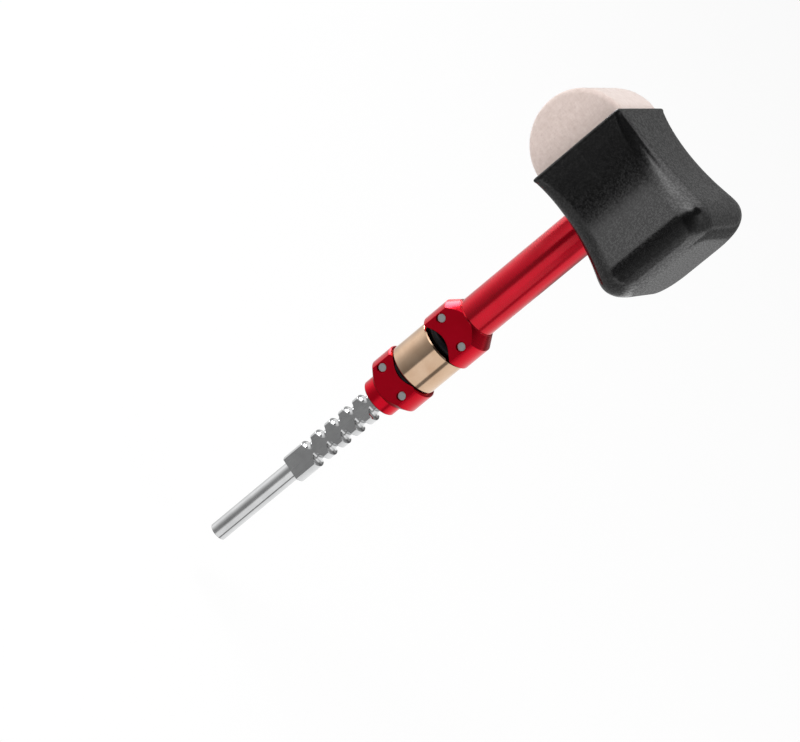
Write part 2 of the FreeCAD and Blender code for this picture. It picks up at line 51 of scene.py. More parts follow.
# Camera, fitted to the shaft, the hubs and the head: degrees, metres and pixels of the 800 x 742 frame
CAMERA_AZIMUTH = 13.203
CAMERA_ELEVATION = 23.38
CAMERA_ROLL = 50.301
CAMERA_DISTANCE = 1.296223
CAMERA_TARGET = Vector((0, 0, 0.150))
TARGET_RIGHT = 0.031396
TARGET_UP = 0.022017
FOCAL_PIXELS = 3300
IMAGE_WIDTH = 800
SENSOR_WIDTH = 36


# Nodes and meshes

def add(tree, kind, inputs=None, **settings):
    """A shader node with its settings, and its inputs as plain values or as links from other sockets."""
    made = tree.nodes.new(kind)
    for name, value in settings.items():
        setattr(made, name, value)
    for socket, value in (inputs or {}).items():
        if isinstance(value, bpy.types.NodeSocket):
            tree.links.new(value, made.inputs[socket])
        else:
            made.inputs[socket].default_value = value
    return made


def math_node(tree, operation, first, second=0.0):
    """The output of a math node on two values or sockets."""
    return add(tree, "ShaderNodeMath", {0: first, 1: second}, operation=operation).outputs[0]


def new_material(name, inputs):
    """A material with a principled shader, and that shader."""
    made = bpy.data.materials.new(name)
    made.use_nodes = True
    shader = made.node_tree.nodes["Principled BSDF"]
    for socket, value in inputs.items():
        shader.inputs[socket].default_value = value
    return made, made.node_tree, shader


def ramp(tree, factor, low, high, dark, light):
    """A factor between low and high turned into a colour between two colours."""
    share = add(tree, "ShaderNodeMapRange", {"Value": factor, "From Min": low, "From Max": high})
    mixed = add(tree, "ShaderNodeMix", {"Factor": share.outputs[0]}, data_type="RGBA")
    mixed.inputs["A"].default_value = (*dark, 1)
    mixed.inputs["B"].default_value = (*light, 1)
    return mixed.outputs["Result"]


def spread(tree, factor, low, high, start, end):
    """A factor between low and high turned into a number between start and end."""
    return add(tree, "ShaderNodeMapRange", {"Value": factor, "From Min": low, "From Max": high,
                                            "To Min": start, "To Max": end}).outputs[0]


def place(tree):
    """The point on the piece in the part's own frame, in metres."""
    return add(tree, "ShaderNodeTexCoord").outputs["Object"]


def grain(tree, scale, detail=3.0, stretch=None):
    """Noise of a given number of cells per metre, stretched along the axes if asked."""
    spot = place(tree)
    if stretch:
        spot = add(tree, "ShaderNodeMapping", {"Vector": spot, "Scale": stretch}).outputs[0]
    return add(tree, "ShaderNodeTexNoise", {"Vector": spot, "Scale": scale, "Detail": detail}).outputs[0]


def soft_edge(tree, radius):
    """A normal that rounds every edge by a small radius."""
    return add(tree, "ShaderNodeBevel", {"Radius": radius}, samples=6).outputs[0]


def bump(tree, height, distance, strength, normal=None):
    """A normal roughened by a height."""
    made = add(tree, "ShaderNodeBump", {"Height": height, "Distance": distance, "Strength": strength})
    if normal:
        tree.links.new(normal, made.inputs["Normal"])
    return made.outputs[0]


def new_piece(name, points, faces):
    """A smooth mesh piece in the part's frame, with its faces turned outwards."""
    mesh = bpy.data.meshes.new(name)
    mesh.from_pydata(points, [], faces)
    mesh.validate()
    shape = bmesh.new()
    shape.from_mesh(mesh)
    bmesh.ops.recalc_face_normals(shape, faces=shape.faces)
    shape.to_mesh(mesh)
    shape.free()
    mesh.polygons.foreach_set("use_smooth", [True] * len(mesh.polygons))
    made = bpy.data.objects.new(name, mesh)
    bpy.context.scene.collection.objects.link(made)
    return made


def skin(rings, close_ends=True):
    """Points and faces of closed rings with as many points each, joined in turn."""
    count = len(rings[0])
    points = [spot for ring in rings for spot in ring]
    faces = []
    for row in range(len(rings) - 1):
        for step in range(count):
            after = (step + 1) % count
            faces.append((row * count + step, row * count + after,
                          (row + 1) * count + after, (row + 1) * count + step))
    if close_ends:
        for row, turn in ((0, -1), (len(rings) - 1, 1)):
            faces.append([row * count + step for step in range(count)][::turn])
    return points, faces


# Moulded rubber head

MOUTH_WIDTH = 46.8 * MM
MOUTH_LENGTH = 44.6 * MM
MOUTH_CORNER = 1.8 * MM
MOUTH_ROUNDING = 0.8 * MM
LIP_SHARE = 0.15
WAIST_WIDTH_DRAW = 5.4 * MM
WAIST_LENGTH_DRAW = 3.4 * MM
STRIKE_CORNER = 10.0 * MM
STRIKE_EDGE = 9.3 * MM
CORNER_POWER = 0.5
FELT_CLEARANCE = 0.2 * MM
RECESS_ROUNDING = 0.1 * MM
PARTING_HALF_WIDTH = 0.3 * MM
PARTING_HEIGHT = 0.045 * MM
PARTING_SHARE = 0.01
BORE_CLEARANCE = 0.12 * MM
BORE_RUNOUT = 14 * MM
SIDE_STEPS = 24
CORNER_STEPS = 10
WAIST_STEPS = 44
EDGE_STEPS = 16
FACE_STEPS = 6
CAP_STEPS = 10
ROUND_STEPS = 4
SMOOTH_ROUNDS = 10
BORE_STEPS = 96

head_low, head_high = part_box("head_shell")
felt_low, felt_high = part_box("felt_pad")
head_centre = (head_low + head_high) / 2
strike_width = head_high.y - head_low.y
strike_length = head_high.z - head_low.z
felt_radius = (felt_high.z - felt_low.z) / 2
felt_centre = Vector((felt_low.x + felt_radius, 0, (felt_low.z + felt_high.z) / 2))
felt_half = felt_high.y


def head_ring(along, half_width, half_length, corner, ridge=1.0):
    """A rounded rectangle across X, with the parting ridge in the middle of both broad sides."""
    corner = min(corner, half_width, half_length)
    reach_y = half_width - corner
    reach_z = half_length - corner
    spots = []
    for quarter in range(4):
        turn = quarter * math.pi / 2
        centre_y = reach_y if quarter in (0, 3) else -reach_y
        centre_z = reach_z if quarter in (0, 1) else -reach_z
        for step in range(CORNER_STEPS + 1):
            angle = turn + step / CORNER_STEPS * math.pi / 2
            spots.append((centre_y + corner * math.cos(angle), centre_z + corner * math.sin(angle)))
        length = reach_y if quarter in (0, 2) else reach_z
        start = spots[-1]
        spots.extend(side_spots(start, quarter, length, ridge))
    return [Vector((along, y, head_centre.z + z)) for y, z in spots]


def side_spots(start, quarter, half, ridge):
    """Points along one straight side, without its ends; the sides that face Y carry the ridge."""
    direction = ((-1, 0), (0, -1), (1, 0), (0, 1))[quarter]
    outward = ((0, 1), (-1, 0), (0, -1), (1, 0))[quarter]
    shares = [step / SIDE_STEPS for step in range(1, SIDE_STEPS)]
    near = PARTING_HALF_WIDTH / (2 * half) if half > PARTING_HALF_WIDTH else PARTING_SHARE
    shares = sorted(shares + [0.5 - near, 0.5 + near])
    spots = []
    for share in shares:
        lift = PARTING_HEIGHT * ridge if quarter in (1, 3) and share == 0.5 else 0
        spots.append((start[0] + direction[0] * 2 * half * share + outward[0] * lift,
                      start[1] + direction[1] * 2 * half * share + outward[1] * lift))
    return spots


def waist_half(share, mouth, strike, draw):
    """Half the head's width or length at a share of the way from the mouth to the strike edge."""
    return ((1 - share) * mouth + share * strike) / 2 - 2 * share * (1 - share) * draw


def head_rings():
    """All sections of the head from the floor of its recess, out over the rim and on to the strike face."""
    rings = []
    recess_radius = felt_radius + FELT_CLEARANCE
    recess_half = felt_half + FELT_CLEARANCE
    recess_floor = felt_high.x + FELT_CLEARANCE
    mouth_x = head_low.x

    def recess_ring(along, widen=0.0):
        height = math.sqrt(recess_radius ** 2 - (along - felt_centre.x) ** 2)
        return head_ring(along, recess_half + widen, height + widen, RECESS_ROUNDING, ridge=0)

    floor_ring = recess_ring(recess_floor)
    for step in range(1, CAP_STEPS):
        share = step / CAP_STEPS
        rings.append([Vector((recess_floor, spot.y * share, head_centre.z + (spot.z - head_centre.z) * share))
                      for spot in floor_ring])
    rings.append(floor_ring)
    for step in range(1, ROUND_STEPS + 1):
        share = step / ROUND_STEPS
        rings.append(recess_ring(recess_floor + (mouth_x + RECESS_ROUNDING - recess_floor) * share))
    for step in range(1, ROUND_STEPS + 1):
        angle = step / ROUND_STEPS * math.pi / 2
        rings.append(recess_ring(mouth_x + RECESS_ROUNDING * (1 - math.sin(angle)),
                                 RECESS_ROUNDING * (1 - math.cos(angle))))
    for step in range(ROUND_STEPS + 1):
        angle = (1 - step / ROUND_STEPS) * math.pi / 2
        inset = MOUTH_ROUNDING * (1 - math.cos(angle))
        rings.append(head_ring(mouth_x + MOUTH_ROUNDING * (1 - math.sin(angle)),
                               MOUTH_WIDTH / 2 - inset, MOUTH_LENGTH / 2 - inset * LIP_SHARE, MOUTH_CORNER))
    rings += outer_rings(mouth_x + MOUTH_ROUNDING)
    return rings


def eased(sections):
    """Sections with the turns from the waist into the strike edge and on to the strike face made gradual."""
    for _ in range(SMOOTH_ROUNDS):
        inner = [[(before + 2 * here + after) / 4 for before, here, after in zip(*trio)]
                 for trio in zip(sections, sections[1:], sections[2:])]
        sections = [sections[0], *inner, sections[-1]]
    return sections


def outer_rings(mouth_x):
    """The waisted sides, the rounded strike edge and the strike face."""
    sections = []
    shoulder = head_high.x - STRIKE_EDGE
    flare = math.atan((strike_width - MOUTH_WIDTH + 4 * WAIST_WIDTH_DRAW) / 2 / (shoulder - mouth_x))
    drop = STRIKE_EDGE * (1 - math.cos(flare))
    waist_end = shoulder - STRIKE_EDGE * math.sin(flare)
    for step in range(1, WAIST_STEPS):
        share = step / WAIST_STEPS
        sections.append((
            mouth_x + (waist_end - mouth_x) * share,
            waist_half(share, MOUTH_WIDTH, strike_width - 2 * drop, WAIST_WIDTH_DRAW),
            waist_half(share, MOUTH_LENGTH, strike_length - 2 * drop, WAIST_LENGTH_DRAW),
            MOUTH_CORNER + (STRIKE_CORNER - MOUTH_CORNER) * share ** CORNER_POWER))
    for step in range(EDGE_STEPS + 1):
        angle = -flare + step / EDGE_STEPS * (math.pi / 2 + flare)
        inset = STRIKE_EDGE * (1 - math.cos(angle))
        sections.append((shoulder + STRIKE_EDGE * math.sin(angle), strike_width / 2 - inset,
                         strike_length / 2 - inset, STRIKE_CORNER))
    face_step = STRIKE_EDGE * (math.pi / 2 + flare) / EDGE_STEPS
    for step in range(1, FACE_STEPS + 1):
        inset = STRIKE_EDGE + step * face_step
        sections.append((head_high.x, strike_width / 2 - inset, strike_length / 2 - inset, STRIKE_CORNER))
    rings = [head_ring(*section) for section in eased(sections)]
    last = rings[-1]
    for step in range(CAP_STEPS - 1, 0, -1):
        share = step / CAP_STEPS
        rings.append([Vector((spot.x, spot.y * share, head_centre.z + (spot.z - head_centre.z) * share))
                      for spot in last])
    return rings


def core_seat():
    """A plug of the core's seat and of the bore that the tube goes up through, to be cut from the head."""
    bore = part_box("beater_tube")[1].x + BORE_CLEARANCE
    core_low, core_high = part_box("head_core")
    seat = core_high.x + BORE_CLEARANCE
    floor = core_low.z - BORE_CLEARANCE
    profile = ((bore, head_low.z - BORE_RUNOUT), (bore, floor),
               (seat, floor), (seat, core_high.z + BORE_CLEARANCE))
    rings = []
    for radius, height in profile:
        rings.append([Vector((radius * math.cos((step + 0.5) / BORE_STEPS * math.tau),
                              radius * math.sin((step + 0.5) / BORE_STEPS * math.tau), height))
                      for step in range(BORE_STEPS)])
    return new_piece("core_seat", *skin(rings))


def apply_modifiers(piece):
    """The piece's own mesh becomes what its modifiers make of it."""
    depsgraph = bpy.context.evaluated_depsgraph_get()
    shaped = bpy.data.meshes.new_from_object(piece.evaluated_get(depsgraph))
    piece.modifiers.clear()
    piece.data = shaped


def build_head():
    """The rubber head with its felt recess, the bore for the tube and the seat of the core."""
    head = new_piece("head_moulding", *skin(head_rings()))
    plug = core_seat()
    cut = head.modifiers.new("seat", "BOOLEAN")
    cut.object = plug
    cut.solver = "EXACT"
    apply_modifiers(head)
    bpy.data.objects.remove(plug)
    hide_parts("head_shell")
    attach(head, "head_side")
    return head


# Felt striker

FELT_EDGE = 2.4 * MM
FELT_CROWN = 0.3 * MM
FELT_ROUGHNESS = 0.07 * MM
FELT_ROUND_STEPS = 200
FELT_FACE_STEPS = 26
FELT_EDGE_STEPS = 8
FELT_RIM_STEPS = 30
LUMP_SCALE = 260
LUMP_SHARE = 0.6
TUFT_SCALE = 1100
TUFT_SHARE = 0.4
FIBRE_SEED = 7
FIBRE_COUNT = 4200
FIBRE_LENGTH = 1.1 * MM
FIBRE_LENGTH_RANGE = (0.5, 1.2)
FIBRE_RADIUS = 0.022 * MM
FIBRE_LIFT = 0.3
FIBRE_BEND = 0.8
FIBRE_TAPER = 0.8
FIBRE_SECTIONS = (0, 0.35, 0.7, 1)
FIBRE_SIDES = 3


def felt_profile():
    """Radius and place across Y, from the middle of the near face over the rim to that of the far one."""
    flat = felt_radius - FELT_EDGE
    half = []
    for step in range(1, FELT_FACE_STEPS + 1):
        share = step / FELT_FACE_STEPS
        half.append((flat * share, -felt_half + FELT_CROWN * share ** 2))
    start = -felt_half + FELT_CROWN
    for step in range(1, FELT_EDGE_STEPS + 1):
        angle = step / FELT_EDGE_STEPS * math.pi / 2
        half.append((flat + FELT_EDGE * math.sin(angle), start + FELT_EDGE * (1 - math.cos(angle))))
    rim = start + FELT_EDGE
    middle = [(felt_radius, rim - 2 * rim * step / FELT_RIM_STEPS) for step in range(1, FELT_RIM_STEPS)]
    return half + middle + [(radius, -across) for radius, across in reversed(half)]


def felt_spot(radius, across, angle):
    """A point on the felt's turned form, about the Y axis."""
    return felt_centre + Vector((radius * math.cos(angle), across, radius * math.sin(angle)))


def felt_sink(spot):
    """How far the pressed wool lies under the true form: broad lumps and small tufts."""
    lump = noise.noise(spot * LUMP_SCALE)
    tuft = noise.noise(spot * TUFT_SCALE)
    return FELT_ROUGHNESS * (1 + LUMP_SHARE * lump + TUFT_SHARE * tuft)


def build_felt():
    """A thick disc of pressed wool with soft edges, cut off flat where it is glued in."""
    rings = []
    for radius, across in felt_profile():
        rings.append([felt_spot(radius, across, step / FELT_ROUND_STEPS * math.tau)
                      for step in range(FELT_ROUND_STEPS)])
    felt = new_piece("felt_striker", *skin(rings))
    shape = bmesh.new()
    shape.from_mesh(felt.data)
    bmesh.ops.recalc_face_normals(shape, faces=shape.faces)
    shape.normal_update()
    for vertex in shape.verts:
        vertex.co -= vertex.normal * felt_sink(vertex.co)
    cut = bmesh.ops.bisect_plane(shape, geom=shape.verts[:] + shape.edges[:] + shape.faces[:],
                                 plane_co=(felt_high.x, 0, 0), plane_no=(1, 0, 0), clear_outer=True)
    rim = [item for item in cut["geom_cut"] if isinstance(item, bmesh.types.BMEdge)]
    bmesh.ops.contextual_create(shape, geom=rim)
    shape.to_mesh(felt.data)
    shape.free()
    felt.data.polygons.foreach_set("use_smooth", [True] * len(felt.data.polygons))
    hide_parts("felt_pad")
    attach(felt, "head_side")
    return felt


def fibre(root, heading, normal, length):
    """Rings of one loose wool fibre that leaves the felt and bends back to it."""
    across = heading.cross(normal).normalized()
    rings = []
    for share in FIBRE_SECTIONS:
        rise = FIBRE_LIFT * length * (share - FIBRE_BEND * share ** 2)
        middle = root + heading * length * share + normal * rise
        thick = FIBRE_RADIUS * (1 - FIBRE_TAPER * share)
        rings.append([middle + across * thick, middle + normal * thick, middle - across * thick])
    return rings


def build_fibres():
    """Loose fibres over the part of the felt that stands out of the head."""
    dice = random.Random(FIBRE_SEED)
    profile = felt_profile()
    points, faces = [], []
    while len(points) < FIBRE_COUNT * len(FIBRE_SECTIONS) * FIBRE_SIDES:
        index = dice.randrange(1, len(profile) - 1)
        radius, across = profile[index]
        if dice.random() > radius / felt_radius:
            continue
        angle = dice.uniform(0, math.tau)
        root = felt_spot(radius, across, angle)
        if root.x > head_low.x:
            continue
        near = felt_spot(*profile[index + 1], angle)
        along = (near - root).normalized()
        around = Vector((-math.sin(angle), 0, math.cos(angle)))
        normal = along.cross(around).normalized()
        outward = root - felt_centre
        if normal.dot(outward) < 0:
            normal = -normal
        swing = dice.uniform(0, math.tau)
        heading = along * math.cos(swing) + around * math.sin(swing)
        root -= normal * felt_sink(root)
        start = len(points)
        length = FIBRE_LENGTH * dice.uniform(*FIBRE_LENGTH_RANGE)
        strand, sides = skin(fibre(root, heading, normal, length))
        points += strand
        faces += [[start + corner for corner in side] for side in sides]
    fibres = new_piece("felt_fibres", points, faces)
    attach(fibres, "head_side")
    return fibres


# Thread on the socket, hidden until the sleeve is turned off it

THREAD_STARTS = 6
THREAD_LEAD = 9 * MM
THREAD_HEIGHT = 0.22 * MM
THREAD_HALF_WIDTH = 0.42 * MM
THREAD_CREST_SHARE = 0.25
THREAD_ROOT_DEPTH = 0.1 * MM
THREAD_END_GAP = 1.0 * MM
THREAD_STEPS = 72
THREAD_FADES = 8


def build_thread():
    """Ridges of a fast right-hand thread round the socket."""
    core_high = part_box("socket_core")[1]
    core_radius = core_high.x
    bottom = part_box("lock_sleeve")[0].z + THREAD_END_GAP
    rise = core_high.z - THREAD_END_GAP - bottom
    points, faces = [], []
    for start in range(THREAD_STARTS):
        rings = []
        for step in range(THREAD_STEPS + 1):
            height = bottom + rise * step / THREAD_STEPS
            angle = start / THREAD_STARTS * math.tau + (height - bottom) / THREAD_LEAD * math.tau
            fade = min(1, THREAD_FADES * step / THREAD_STEPS, THREAD_FADES * (1 - step / THREAD_STEPS))
            outward = Vector((math.cos(angle), math.sin(angle), 0))
            root = outward * (core_radius - THREAD_ROOT_DEPTH)
            crest = outward * (core_radius + fade * THREAD_HEIGHT)
            level = Vector((0, 0, height))
            wide = Vector((0, 0, THREAD_HALF_WIDTH))
            narrow = wide * THREAD_CREST_SHARE
            rings.append([root + level - wide, crest + level - narrow,
                          crest + level + narrow, root + level + wide])
        first = len(points)
        ridge, sides = skin(rings)
        points += ridge
        faces += [[first + corner for corner in side] for side in sides]
    thread = new_piece("socket_thread", points, faces)
    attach(thread, "shaft_side")
    return thread


# Rolled bead where the tube leaves the upper hub

BEAD_RADIUS = 0.42 * MM
BEAD_SIDES = 14
BEAD_STEPS = 120


def build_bead():
    """A thin round bead about the foot of the tube, on top of the hub's cone."""
    tube_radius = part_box("beater_tube")[1].x
    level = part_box("upper_hub")[1].z
    points, faces = [], []
    for step in range(BEAD_STEPS):
        angle = step / BEAD_STEPS * math.tau
        for side in range(BEAD_SIDES):
            turn = side / BEAD_SIDES * math.tau
            radius = tube_radius + BEAD_RADIUS * math.cos(turn)
            points.append(Vector((radius * math.cos(angle), radius * math.sin(angle),
                                  level + BEAD_RADIUS * math.sin(turn))))
            after = (step + 1) % BEAD_STEPS * BEAD_SIDES
            beside = (side + 1) % BEAD_SIDES
            faces.append((step * BEAD_SIDES + side, after + side, after + beside, step * BEAD_SIDES + beside))
    bead = new_piece("neck_bead", points, faces)
    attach(bead, "head_side")
    return bead


# Materials

TURNED = (0.02, 0.02, 1)
MILLED = (1, 0.02, 0.03)
LENGTHWAYS = (1, 1, 0.18)
SIDEWAYS = (0.18, 1, 1)
NOISE_RANGE = (0.3, 0.7)
FLAT_FACING = (0.96, 0.995)
METAL_ROUGH_RANGE = 0.06
MOULDED_ROUGH_RANGE = 0.07
FLECK_RANGE = (0.47, 0.56)


def facing_y(tree):
    """One on the milled flats, which face along Y, and zero on the turned surfaces beside them."""
    normal = add(tree, "ShaderNodeTexCoord").outputs["Normal"]
    across = add(tree, "ShaderNodeSeparateXYZ", {"Vector": normal}).outputs["Y"]
    return spread(tree, math_node(tree, "ABSOLUTE", across), *FLAT_FACING, 0, 1)


def blend(tree, factor, first, second):
    """A number between two others."""
    return add(tree, "ShaderNodeMix", {"Factor": factor, "A": first, "B": second}).outputs["Result"]


def red_anodised(name, has_flats, coat):
    """Dyed anodised aluminium: satin metal under a thin clear oxide, duller on the milled flats."""
    made, tree, shader = new_material(name, {
        "Metallic": 1.0, "Coat Weight": coat, "Coat Roughness": 0.12})
    cloud = grain(tree, 90)
    lines = grain(tree, 9000, 2.0, TURNED)
    colour = ramp(tree, cloud, *NOISE_RANGE, (0.63, 0.0008, 0.015), (0.71, 0.0016, 0.021))
    tree.links.new(colour, shader.inputs["Base Color"])
    rough = spread(tree, lines, *NOISE_RANGE, 0.26, 0.30)
    if has_flats:
        milled = grain(tree, 4000, 3.0)
        rough = blend(tree, facing_y(tree), rough, spread(tree, milled, *NOISE_RANGE, 0.40, 0.50))
    tree.links.new(rough, shader.inputs["Roughness"])
    tree.links.new(soft_edge(tree, 0.3 * MM), shader.inputs["Normal"])
    return made


def bronze():
    """Polished bronze with fine turning lines."""
    made, tree, shader = new_material("bronze_look", {"Metallic": 1.0})
    cloud = grain(tree, 160)
    lines = grain(tree, 7000, 2.0, TURNED)
    colour = ramp(tree, cloud, *NOISE_RANGE, (0.62, 0.42, 0.28), (0.70, 0.50, 0.35))
    tree.links.new(colour, shader.inputs["Base Color"])
    tree.links.new(spread(tree, lines, *NOISE_RANGE, 0.08, 0.15), shader.inputs["Roughness"])
    tree.links.new(bump(tree, lines, 0.001 * MM, 0.2, soft_edge(tree, 0.3 * MM)), shader.inputs["Normal"])
    return made


def satin_chrome():
    """Plated steel: bright where it is turned, duller on the milled flats, with painted shade that darkens
    the colour of the flats.
    """
    made, tree, shader = new_material("satin_chrome_look", {"Metallic": 1.0})
    flat = facing_y(tree)
    lines = grain(tree, 6000, 2.0, TURNED)
    milled = grain(tree, 5000, 2.0, MILLED)
    cloud = grain(tree, 140)
    rough = blend(tree, flat, spread(tree, lines, *NOISE_RANGE, 0.08, 0.15),
                  spread(tree, milled, *NOISE_RANGE, 0.26, 0.36))
    tree.links.new(rough, shader.inputs["Roughness"])
    # The cloud gives a random tone; the darker colour on the milled flats is painted shade.
    tone_and_flat_shade = math_node(tree, "SUBTRACT", cloud, math_node(tree, "MULTIPLY", flat, 0.4))
    colour = ramp(tree, tone_and_flat_shade, -0.1, 0.7, (0.50, 0.505, 0.51), (0.72, 0.725, 0.73))
    tree.links.new(colour, shader.inputs["Base Color"])
    normal = bump(tree, blend(tree, flat, lines, milled), 0.002 * MM, 0.25, soft_edge(tree, 0.2 * MM))
    tree.links.new(normal, shader.inputs["Normal"])
    return made


def plain_metal(name, dark, light, rough):
    """Bare or blackened steel with a fine grain."""
    made, tree, shader = new_material(name, {"Metallic": 1.0})
    speck = grain(tree, 2600, 4.0)
    tree.links.new(ramp(tree, speck, *NOISE_RANGE, dark, light), shader.inputs["Base Color"])
    uneven = spread(tree, speck, *NOISE_RANGE, rough - METAL_ROUGH_RANGE, rough + METAL_ROUGH_RANGE)
    tree.links.new(uneven, shader.inputs["Roughness"])
    normal = bump(tree, speck, 0.006 * MM, 0.3, soft_edge(tree, 0.15 * MM))
    tree.links.new(normal, shader.inputs["Normal"])
    return made


def moulded(name, dark, light, rough, gloss, speck_scale, speck_height, fleck=0.0):
    """Moulded rubber or nylon: nearly even colour, a fine speckle, a soft gloss, and flecks if asked."""
    made, tree, shader = new_material(name, {"Specular IOR Level": gloss, "Coat Roughness": 0.2})
    cloud = grain(tree, 60)
    speck = grain(tree, speck_scale, 4.0)
    tree.links.new(ramp(tree, cloud, *NOISE_RANGE, dark, light), shader.inputs["Base Color"])
    uneven = spread(tree, speck, *NOISE_RANGE, rough - MOULDED_ROUGH_RANGE, rough + MOULDED_ROUGH_RANGE)
    tree.links.new(uneven, shader.inputs["Roughness"])
    tree.links.new(bump(tree, speck, speck_height, 0.5), shader.inputs["Normal"])
    if fleck:
        tree.links.new(spread(tree, speck, *FLECK_RANGE, 0, fleck), shader.inputs["Coat Weight"])
    return made


def wool_felt():
    """Pressed wool: mottled pinkish beige with short fibres every way and a pale sheen."""
    made, tree, shader = new_material("wool_felt_look", {
        "Roughness": 0.95, "Sheen Weight": 0.55, "Sheen Roughness": 0.5, "Specular IOR Level": 0.2})
    mottle = grain(tree, 500, 5.0)
    fibres = math_node(tree, "ADD", grain(tree, 3200, 3.0, LENGTHWAYS), grain(tree, 3200, 3.0, SIDEWAYS))
    mixed = math_node(tree, "ADD", math_node(tree, "MULTIPLY", mottle, 0.4),
                      math_node(tree, "MULTIPLY", fibres, 0.3))
    colour = ramp(tree, mixed, *NOISE_RANGE, (0.64, 0.51, 0.46), (0.83, 0.71, 0.66))
    tree.links.new(colour, shader.inputs["Base Color"])
    tree.links.new(bump(tree, fibres, 0.06 * MM, 0.4), shader.inputs["Normal"])
    return made


def dress(looks):
    """Give each solid of the part its material."""
    for names, look in looks:
        for name in names:
            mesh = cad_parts[name].data
            mesh.materials.clear()
            mesh.materials.append(look)


# Stage, light and camera

FLOOR_DROP = 0.02
FLOOR_HALF = 6.0
FLOOR_GLOW = 0.87
CARD_STEPS = 24


def camera_axes():
    """Right, up and back of the camera, in the part's frame."""
    azimuth = math.radians(CAMERA_AZIMUTH)
    elevation = math.radians(CAMERA_ELEVATION)
    roll = math.radians(CAMERA_ROLL)
    back = Vector((math.sin(azimuth) * math.cos(elevation), -math.cos(azimuth) * math.cos(elevation),
                   math.sin(elevation)))
    level = Vector((math.cos(azimuth), math.sin(azimuth), 0))
    upright = back.cross(level)
    right = level * math.cos(roll) + upright * math.sin(roll)
    up = upright * math.cos(roll) - level * math.sin(roll)
    return right, up, back


def build_camera():
    """The photograph's view, rolled with the tilted beater."""
    right, up, back = camera_axes()
    lens = bpy.data.cameras.new("camera")
    lens.sensor_fit = "HORIZONTAL"
    lens.sensor_width = SENSOR_WIDTH
    lens.lens = FOCAL_PIXELS / IMAGE_WIDTH * SENSOR_WIDTH
    camera = bpy.data.objects.new("camera", lens)
    eye = CAMERA_TARGET + back * CAMERA_DISTANCE - right * TARGET_RIGHT - up * TARGET_UP
    turn = Matrix((right, up, back)).transposed().to_4x4()
    camera.matrix_world = Matrix.Translation(eye) @ turn
    bpy.context.scene.collection.objects.link(camera)
    bpy.context.scene.camera = camera


def softbox(name, direction, distance, size, power, mirrored):
    """A square lamp that looks at the beater, placed by right, up and back of the camera."""
    right, up, back = camera_axes()
    heading = (right * direction[0] + up * direction[1] + back * direction[2]).normalized()
    lamp = bpy.data.lights.new(name, "AREA")
    lamp.size = size
    lamp.energy = power
    made = bpy.data.objects.new(name, lamp)
    made.location = CAMERA_TARGET + heading * distance
    made.rotation_mode = "QUATERNION"
    made.rotation_quaternion = heading.to_track_quat("Z", "Y")
    made.visible_glossy = mirrored
    bpy.context.scene.collection.objects.link(made)


def build_floor():
    """A pale floor that shows white to the camera and keeps a faint shadow."""
    made, tree, shader = new_material("floor_look", {"Base Color": (0.98, 0.98, 0.98, 1), "Roughness": 0.9})
    glow = add(tree, "ShaderNodeEmission", {"Color": (1, 1, 1, 1), "Strength": 1.0})
    ray = add(tree, "ShaderNodeLightPath").outputs["Is Camera Ray"]
    mixed = add(tree, "ShaderNodeMixShader", {0: math_node(tree, "MULTIPLY", ray, FLOOR_GLOW),
                                              1: shader.outputs[0], 2: glow.outputs[0]})
    tree.links.new(mixed.outputs[0], tree.nodes["Material Output"].inputs["Surface"])
    corners = [Vector((x * FLOOR_HALF, y * FLOOR_HALF, -FLOOR_DROP))
               for x, y in ((-1, -1), (1, -1), (1, 1), (-1, 1))]
    floor = new_piece("floor", corners, [(0, 1, 2, 3)])
    floor.data.materials.append(made)
    floor.visible_glossy = False


def card(name, radius, turns, heights, greys):
    """A curved studio card round the shaft's axis that only glossy surfaces mirror, graded along it."""
    first, last = (math.radians(turn) for turn in turns)
    points = []
    for step in range(CARD_STEPS + 1):
        angle = first + (last - first) * step / CARD_STEPS
        for height in heights:
            points.append(Vector((radius * math.cos(angle), radius * math.sin(angle), height)))
    faces = [(2 * step, 2 * step + 2, 2 * step + 3, 2 * step + 1) for step in range(CARD_STEPS)]
    made, tree, _ = new_material(name + "_look", {"Base Color": (0, 0, 0, 1), "Roughness": 1.0})
    spot = add(tree, "ShaderNodeSeparateXYZ", {"Vector": place(tree)}).outputs
    turn = math_node(tree, "ARCTAN2", spot["Y"], spot["X"])
    glow = add(tree, "ShaderNodeEmission", {"Strength": spread(tree, turn, first, last, *greys)})
    tree.links.new(glow.outputs[0], tree.nodes["Material Output"].inputs["Surface"])
    panel = new_piece(name, points, faces)
    panel.data.materials.append(made)
    panel.visible_camera = False
    panel.visible_diffuse = False
    panel.visible_transmission = False
    panel.visible_shadow = False


# The studio as glossy surfaces mirror it, below and above the level of the beater: degrees from +X and grey.
# A rise is the upward part of a direction, from -1 to 1. Each pair of rises is where two zones meet.
LOW_STOPS = ((-180, 1.12), (-165, 0.98), (-146, 0.66), (-129, 0.45), (-114, 0.36), (-97, 0.26), (-88, 0.23),
             (-84, 0.96), (-22, 0.96), (-18, 0.22), (-6, 0.22), (-2, 0.95), (35, 1.05), (110, 1.05),
             (140, 0.75), (165, 1.0), (180, 1.12))
HIGH_STOPS = ((-180, 0.9), (-150, 1.2), (-134, 1.45), (-120, 0.9), (-112, 0.3), (-107, 0.05), (-75, 0.02),
              (-30, 0.06), (0, 0.2), (15, 0.3), (60, 0.18), (90, 0.28), (108, 0.26), (122, 0.55), (140, 0.65),
              (165, 0.75), (180, 0.9))
UNDER_GREY = 0.3
OVER_GREY = 0.04
UNDER_RISES = (-0.64, -0.46)
LEVEL_RISES = (-0.1, 0.1)
OVER_RISES = (0.91, 0.965)
LEAN_RISES = (0.4, 0.85)
WALL_LEAN = 0.024
LIFT_RISES = (0.4, 0.8)
WALL_LIFT = (0.85, 1.45)
AMBIENT = 0.5


